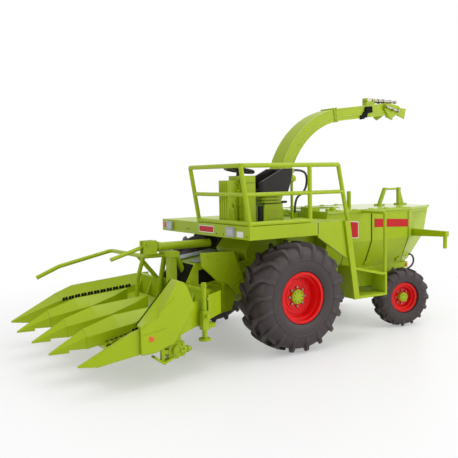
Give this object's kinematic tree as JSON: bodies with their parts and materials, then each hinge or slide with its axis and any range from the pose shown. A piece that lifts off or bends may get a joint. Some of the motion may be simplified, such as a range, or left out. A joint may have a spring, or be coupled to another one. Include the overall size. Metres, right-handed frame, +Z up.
{
  "type": "scale model self-propelled forage harvester with maize header",
  "caption": "Die-cast model of a self-propelled forage harvester: row-crop header, open driver's platform, tall swinging spout, lugged drive wheels and small steered rear wheels.",
  "frame": {"origin": "on the floor below the middle of the length, midway between the wheels", "axes": "+X forward, +Y to the driver's left, +Z up"},
  "size_m": [0.2218, 0.1013, 0.1208],
  "materials": {
    "green_enamel": "gloss lime green enamel on die-cast zinc",
    "red_enamel": "gloss red enamel",
    "tyre": "soft matt tyre rubber",
    "black_plastic": "satin black moulded plastic",
    "grey_lens": "grey lens plastic",
    "bright_steel": "bright plated steel"
  },
  "bodies": {
    "chassis": {"chassis_frame": "green_enamel", "front_axle": "green_enamel", "rear_axle": "green_enamel", "tow_hitch": "green_enamel", "hood": "green_enamel", "hood_lid": "green_enamel", "exhaust_pipe": "green_enamel", "spout_rest": "green_enamel", "side_bracket": "green_enamel", "platform_deck": "green_enamel", "mudguards": "green_enamel", "chopper_housing": "green_enamel", "railing": "green_enamel", "ladder": "green_enamel", "ladder_handrail": "green_enamel", "console": "green_enamel", "seat_base": "green_enamel", "lever_post": "green_enamel", "control_box": "green_enamel", "steering_wheel": "black_plastic", "seat": "black_plastic", "deck_hose": "black_plastic", "rear_hose": "black_plastic", "headlamps": "grey_lens"},
    "front_left_wheel": {"front_left_tyre": "tyre", "front_left_rim": "red_enamel", "front_left_hub": "green_enamel"},
    "front_right_wheel": {"front_right_tyre": "tyre", "front_right_rim": "red_enamel", "front_right_hub": "green_enamel"},
    "rear_left_wheel": {"rear_left_tyre": "tyre", "rear_left_rim": "red_enamel", "rear_left_hub": "green_enamel"},
    "rear_right_wheel": {"rear_right_tyre": "tyre", "rear_right_rim": "red_enamel", "rear_right_hub": "green_enamel"},
    "left_steering": {"left_knuckle": "green_enamel"},
    "right_steering": {"right_knuckle": "green_enamel"},
    "track_rod": {"tie_rod": "bright_steel"},
    "spout": {"spout_turret": "green_enamel", "spout_duct": "green_enamel", "spout_cylinder": "bright_steel"},
    "inner_flap_body": {"inner_flap": "green_enamel"},
    "outer_flap_body": {"outer_flap": "green_enamel"},
    "header": {"row_decks": "green_enamel", "header_frame": "green_enamel", "header_tower": "green_enamel", "guide_boom": "green_enamel", "guide_bars": "green_enamel", "intake_housing": "green_enamel", "intake_guard": "green_enamel", "left_shield": "green_enamel", "left_divider": "green_enamel", "right_divider": "green_enamel", "jack_sleeve": "green_enamel", "cross_gearbox": "green_enamel", "inner_points": "green_enamel", "inner_snouts": "green_enamel", "outer_points": "green_enamel"},
    "parking_jack": {"jack_leg": "green_enamel"}
  },
  "joints": [
    {"name": "front_left_spin", "type": "hinge", "parent": "chassis", "child": "front_left_wheel", "pos_m": [0.0031, 0.03735, 0.025], "axis": [0, 1, 0], "continuous": true},
    {"name": "front_right_spin", "type": "hinge", "parent": "chassis", "child": "front_right_wheel", "pos_m": [0.0031, -0.03735, 0.025], "axis": [0, 1, 0], "continuous": true},
    {"name": "left_steer", "type": "hinge", "parent": "chassis", "child": "left_steering", "pos_m": [-0.0744, 0.023, 0.0152], "axis": [0, 0, 1], "range_deg": [-17.3, 42.7]},
    {"name": "rear_left_spin", "type": "hinge", "parent": "left_steering", "child": "rear_left_wheel", "pos_m": [-0.0744, 0.023, 0.0152], "axis": [0.2198, 0.9755, 0], "continuous": true},
    {"name": "right_steer", "type": "hinge", "parent": "chassis", "child": "right_steering", "pos_m": [-0.0744, -0.023, 0.0152], "axis": [0, 0, 1], "range_deg": [-17.3, 42.7]},
    {"name": "rear_right_spin", "type": "hinge", "parent": "right_steering", "child": "rear_right_wheel", "pos_m": [-0.0744, -0.023, 0.0152], "axis": [0.2198, 0.9755, 0], "continuous": true},
    {"name": "track_rod_turn", "type": "hinge", "parent": "left_steering", "child": "track_rod", "pos_m": [-0.08123, 0.02454, 0.0104], "axis": [0, 0, 1], "range_deg": [-42.7, 17.3]},
    {"name": "spout_slew", "type": "hinge", "parent": "chassis", "child": "spout", "pos_m": [-0.0124, -0.001, 0.062], "axis": [0, 0, 1], "range_deg": [-90, 90]},
    {"name": "inner_flap_tilt", "type": "hinge", "parent": "spout", "child": "inner_flap_body", "pos_m": [-0.0887, -0.001, 0.1164], "axis": [0, -1, 0], "range_deg": [0, 35]},
    {"name": "outer_flap_tilt", "type": "hinge", "parent": "inner_flap_body", "child": "outer_flap_body", "pos_m": [-0.0991, -0.001, 0.1151], "axis": [0, -1, 0], "range_deg": [0, 35]},
    {"name": "header_lift", "type": "hinge", "parent": "chassis", "child": "header", "pos_m": [0.0161, 0, 0.036], "axis": [0, -1, 0], "range_deg": [-6.5, 3]},
    {"name": "jack_slide", "type": "slide", "parent": "header", "child": "parking_jack", "axis": [0, 0, -1], "range_m": [0, 0.0095]}
  ],
  "couplings": [
    {"joint": "right_steer", "follows": "left_steer", "ratio": 1},
    {"joint": "track_rod_turn", "follows": "left_steer", "ratio": -1},
    {"joint": "outer_flap_tilt", "follows": "inner_flap_tilt", "ratio": 1}
  ]
}
